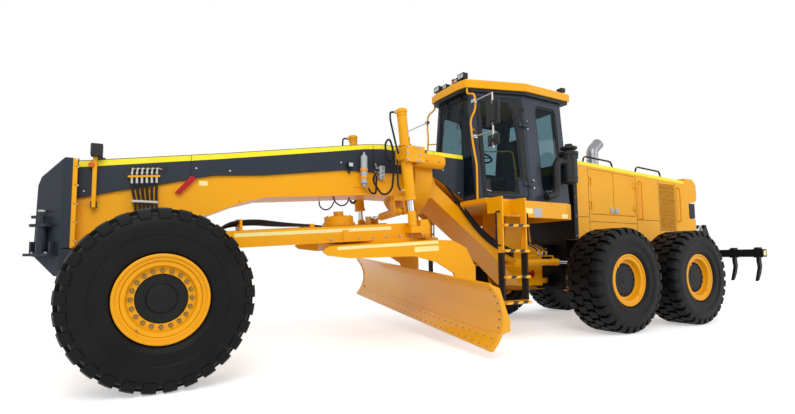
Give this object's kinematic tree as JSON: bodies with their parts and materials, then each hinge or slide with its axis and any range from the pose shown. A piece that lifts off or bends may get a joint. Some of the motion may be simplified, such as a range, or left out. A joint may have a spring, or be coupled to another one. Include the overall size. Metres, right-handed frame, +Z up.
{
  "type": "motor grader",
  "caption": "Six-wheel articulated motor grader with cab, arched front frame, drawbar, circle and curved blade, leaning front wheels and a rear ripper.",
  "frame": {"origin": "on the ground, on the centre plane, under the middle of the tandem wheels", "axes": "+X forward, +Y to the machine's left, +Z up"},
  "size_m": [12.6566, 4.9303, 4.18],
  "materials": {
    "black": "satin black paint",
    "cast_iron": "painted cast iron",
    "dark_grey": "satin dark grey paint",
    "exhaust_steel": "brushed stainless steel",
    "glass": "clear tinted glass",
    "interior": "dark moulded plastic and fabric",
    "lamp": "black lamp housings",
    "rod_chrome": "polished hard chrome",
    "tyre": "matt black tyre rubber",
    "wheel_yellow": "semi-gloss yellow paint",
    "yellow": "gloss yellow paint"
  },
  "bodies": {
    "rear_frame": {"rear_chassis": "yellow", "tandem_cases": "yellow", "engine_hood": "yellow", "engine_block": "cast_iron", "exhaust_stack": "exhaust_steel"},
    "front_frame": {"main_frame": "yellow", "nose_weight": "dark_grey", "beam_cover": "dark_grey", "front_axle": "yellow", "saddle": "yellow", "cab_shell": "dark_grey", "cab_glass": "glass", "cab_roof": "yellow", "cab_interior": "interior", "cab_platform": "yellow", "grab_rails": "yellow", "air_cleaner": "black", "work_lamps": "lamp"},
    "wheel_middle_left": {"tyre_middle_left": "tyre", "rim_middle_left": "wheel_yellow"},
    "wheel_middle_right": {"tyre_middle_right": "tyre", "rim_middle_right": "wheel_yellow"},
    "wheel_rear_left": {"tyre_rear_left": "tyre", "rim_rear_left": "wheel_yellow"},
    "wheel_rear_right": {"tyre_rear_right": "tyre", "rim_rear_right": "wheel_yellow"},
    "lean_left": {"lean_bracket_left": "yellow"},
    "knuckle_left": {"knuckle_left": "yellow"},
    "wheel_front_left": {"tyre_front_left": "tyre", "rim_front_left": "wheel_yellow"},
    "lean_right": {"lean_bracket_right": "yellow"},
    "knuckle_right": {"knuckle_right": "yellow"},
    "wheel_front_right": {"tyre_front_right": "tyre", "rim_front_right": "wheel_yellow"},
    "lean_bar": {"lean_bar": "yellow"},
    "drawbar": {"drawbar": "yellow"},
    "circle": {"circle": "yellow"},
    "blade_carrier": {"blade_carrier": "yellow"},
    "blade": {"moldboard": "yellow"},
    "lift_barrels": {"lift_barrels": "yellow"},
    "lift_rods": {"lift_rods": "rod_chrome"},
    "shift_barrel": {"shift_barrel": "yellow"},
    "shift_rod": {"shift_rod": "rod_chrome"},
    "joint_barrel_left": {"joint_barrel_left": "yellow"},
    "joint_rod_left": {"joint_rod_left": "rod_chrome"},
    "joint_barrel_right": {"joint_barrel_right": "yellow"},
    "joint_rod_right": {"joint_rod_right": "rod_chrome"},
    "ripper": {"ripper_frame": "black"},
    "ripper_barrels": {"ripper_barrels": "yellow"},
    "ripper_rods": {"ripper_rods": "rod_chrome"},
    "cab_door_left": {"cab_door_left": "black", "door_glass_left": "glass"},
    "hood_door_front_left": {"hood_door_front_left": "yellow"},
    "hood_door_rear_left": {"hood_door_rear_left": "yellow"},
    "cab_door_right": {"cab_door_right": "black", "door_glass_right": "glass"},
    "hood_door_front_right": {"hood_door_front_right": "yellow"},
    "hood_door_rear_right": {"hood_door_rear_right": "yellow"}
  },
  "joints": [
    {"name": "articulation", "type": "hinge", "parent": "rear_frame", "child": "front_frame", "pos_m": [1.15, 0, 1.04], "axis": [0, 0, 1], "range_deg": [-20, 20]},
    {"name": "wheel_middle_left_roll", "type": "hinge", "parent": "rear_frame", "child": "wheel_middle_left", "pos_m": [0.973, 1.389, 0.82], "axis": [0, 1, 0], "continuous": true},
    {"name": "wheel_middle_right_roll", "type": "hinge", "parent": "rear_frame", "child": "wheel_middle_right", "pos_m": [0.973, -1.389, 0.82], "axis": [0, 1, 0], "continuous": true},
    {"name": "wheel_rear_left_roll", "type": "hinge", "parent": "rear_frame", "child": "wheel_rear_left", "pos_m": [-0.973, 1.389, 0.82], "axis": [0, 1, 0], "continuous": true},
    {"name": "wheel_rear_right_roll", "type": "hinge", "parent": "rear_frame", "child": "wheel_rear_right", "pos_m": [-0.973, -1.389, 0.82], "axis": [0, 1, 0], "continuous": true},
    {"name": "lean_left", "type": "hinge", "parent": "front_frame", "child": "lean_left", "pos_m": [7.54, 0.86, 0.6], "axis": [1, 0, 0], "range_deg": [-17, 17]},
    {"name": "steer_left", "type": "hinge", "parent": "lean_left", "child": "knuckle_left", "pos_m": [7.54, 1.03, 0.82], "axis": [0, 0, 1], "range_deg": [-45, 45]},
    {"name": "wheel_front_left_roll", "type": "hinge", "parent": "knuckle_left", "child": "wheel_front_left", "pos_m": [7.54, 1.389, 0.82], "axis": [0, 1, 0], "continuous": true},
    {"name": "lean_right", "type": "hinge", "parent": "front_frame", "child": "lean_right", "pos_m": [7.54, -0.86, 0.6], "axis": [1, 0, 0], "range_deg": [-17, 17]},
    {"name": "steer_right", "type": "hinge", "parent": "lean_right", "child": "knuckle_right", "pos_m": [7.54, -1.03, 0.82], "axis": [0, 0, 1], "range_deg": [-45, 45]},
    {"name": "wheel_front_right_roll", "type": "hinge", "parent": "knuckle_right", "child": "wheel_front_right", "pos_m": [7.54, -1.389, 0.82], "axis": [0, 1, 0], "continuous": true},
    {"name": "lean_bar_swing", "type": "hinge", "parent": "lean_left", "child": "lean_bar", "pos_m": [7.54, 0.86, 1.12], "axis": [1, 0, 0], "range_deg": [-17, 17]},
    {"name": "drawbar_lift", "type": "hinge", "parent": "front_frame", "child": "drawbar", "pos_m": [7, 0, 1.42], "axis": [0, 1, 0], "range_deg": [-8, 2.5]},
    {"name": "circle_turn", "type": "hinge", "parent": "drawbar", "child": "circle", "pos_m": [4.50671, 0, 1.60309], "axis": [0.0731, 0.061, 0.9955], "range_deg": [-10, 15]},
    {"name": "blade_pitch", "type": "hinge", "parent": "circle", "child": "blade_carrier", "pos_m": [3.51392, 0.06333, 0.66755], "axis": [0.1292, 0.9891, -0.0701], "range_deg": [-5, 40]},
    {"name": "blade_shift", "type": "slide", "parent": "blade_carrier", "child": "blade", "axis": [0.1292, 0.9891, -0.0701], "range_m": [-0.5, 0.8]},
    {"name": "lift_barrels_swing", "type": "hinge", "parent": "front_frame", "child": "lift_barrels", "pos_m": [4.48, 0, 2.59], "axis": [0, 1, 0], "range_deg": [-0.96, 0.3]},
    {"name": "lift_rods_slide", "type": "slide", "parent": "lift_barrels", "child": "lift_rods", "axis": [-0.1045, 0, -0.9945], "range_m": [-0.11468, 0.36698]},
    {"name": "shift_barrel_swing", "type": "hinge", "parent": "front_frame", "child": "shift_barrel", "pos_m": [4.32, 0.3, 1.867], "axis": [-0.9895, -0.0113, 0.1444], "range_deg": [-23.66, 7.39]},
    {"name": "shift_rod_slide", "type": "slide", "parent": "shift_barrel", "child": "shift_rod", "axis": [0.0017, -0.9978, -0.0664], "range_m": [-0.02792, 0.08935]},
    {"name": "joint_barrel_left_swing", "type": "hinge", "parent": "front_frame", "child": "joint_barrel_left", "pos_m": [2.27, 0.55, 1.1], "axis": [0, 0, 1], "range_deg": [-3.17, 3.17]},
    {"name": "joint_rod_left_slide", "type": "slide", "parent": "joint_barrel_left", "child": "joint_rod_left", "axis": [-1, 0, 0], "range_m": [-0.19189, 0.19189]},
    {"name": "joint_barrel_right_swing", "type": "hinge", "parent": "front_frame", "child": "joint_barrel_right", "pos_m": [2.27, -0.55, 1.1], "axis": [0, 0, 1], "range_deg": [-3.17, 3.17]},
    {"name": "joint_rod_right_slide", "type": "slide", "parent": "joint_barrel_right", "child": "joint_rod_right", "axis": [-1, 0, 0], "range_m": [-0.19189, 0.19189]},
    {"name": "ripper_lift", "type": "hinge", "parent": "rear_frame", "child": "ripper", "pos_m": [-3.12, 0, 1.12], "axis": [0, 1, 0], "range_deg": [-35, 8]},
    {"name": "ripper_barrels_swing", "type": "hinge", "parent": "rear_frame", "child": "ripper_barrels", "pos_m": [-2.96, 0, 1.56], "axis": [0, 1, 0], "range_deg": [-33.3, 7.61]},
    {"name": "ripper_rods_slide", "type": "slide", "parent": "ripper_barrels", "child": "ripper_rods", "axis": [-0.881, 0, 0.4731], "range_m": [-0.06408, 0.28033]},
    {"name": "cab_door_left_swing", "type": "hinge", "parent": "front_frame", "child": "cab_door_left", "pos_m": [2.20663, 0.80614, 2.90261], "axis": [-0.0287, -0.1005, 0.9945], "range_deg": [0, 80]},
    {"name": "hood_door_front_left_swing", "type": "hinge", "parent": "rear_frame", "child": "hood_door_front_left", "pos_m": [0.482, 0.662, 2.2], "axis": [0, 0, -1], "range_deg": [0, 95]},
    {"name": "hood_door_rear_left_swing", "type": "hinge", "parent": "rear_frame", "child": "hood_door_rear_left", "pos_m": [-0.782, 0.662, 2.2], "axis": [0, 0, 1], "range_deg": [0, 95]},
    {"name": "cab_door_right_swing", "type": "hinge", "parent": "front_frame", "child": "cab_door_right", "pos_m": [2.20663, -0.80614, 2.90261], "axis": [0.0287, -0.1005, -0.9945], "range_deg": [0, 80]},
    {"name": "hood_door_front_right_swing", "type": "hinge", "parent": "rear_frame", "child": "hood_door_front_right", "pos_m": [0.482, -0.662, 2.2], "axis": [0, 0, 1], "range_deg": [0, 95]},
    {"name": "hood_door_rear_right_swing", "type": "hinge", "parent": "rear_frame", "child": "hood_door_rear_right", "pos_m": [-0.782, -0.662, 2.2], "axis": [0, 0, -1], "range_deg": [0, 95]}
  ],
  "couplings": [
    {"joint": "lean_right", "follows": "lean_left", "ratio": 1},
    {"joint": "steer_right", "follows": "steer_left", "ratio": 1},
    {"joint": "lean_bar_swing", "follows": "lean_left", "ratio": -1},
    {"joint": "lift_barrels_swing", "follows": "drawbar_lift", "ratio": 0.1202},
    {"joint": "lift_rods_slide", "follows": "drawbar_lift", "m_per_rad": -2.6231},
    {"joint": "shift_barrel_swing", "follows": "drawbar_lift", "ratio": 2.9518},
    {"joint": "shift_rod_slide", "follows": "drawbar_lift", "m_per_rad": -0.63863},
    {"joint": "joint_barrel_left_swing", "follows": "articulation", "ratio": -0.15793},
    {"joint": "joint_rod_left_slide", "follows": "articulation", "m_per_rad": -0.54862},
    {"joint": "joint_barrel_right_swing", "follows": "articulation", "ratio": -0.15793},
    {"joint": "joint_rod_right_slide", "follows": "articulation", "m_per_rad": 0.54862},
    {"joint": "ripper_barrels_swing", "follows": "ripper_lift", "ratio": 0.94946},
    {"joint": "ripper_rods_slide", "follows": "ripper_lift", "m_per_rad": -0.458}
  ]
}
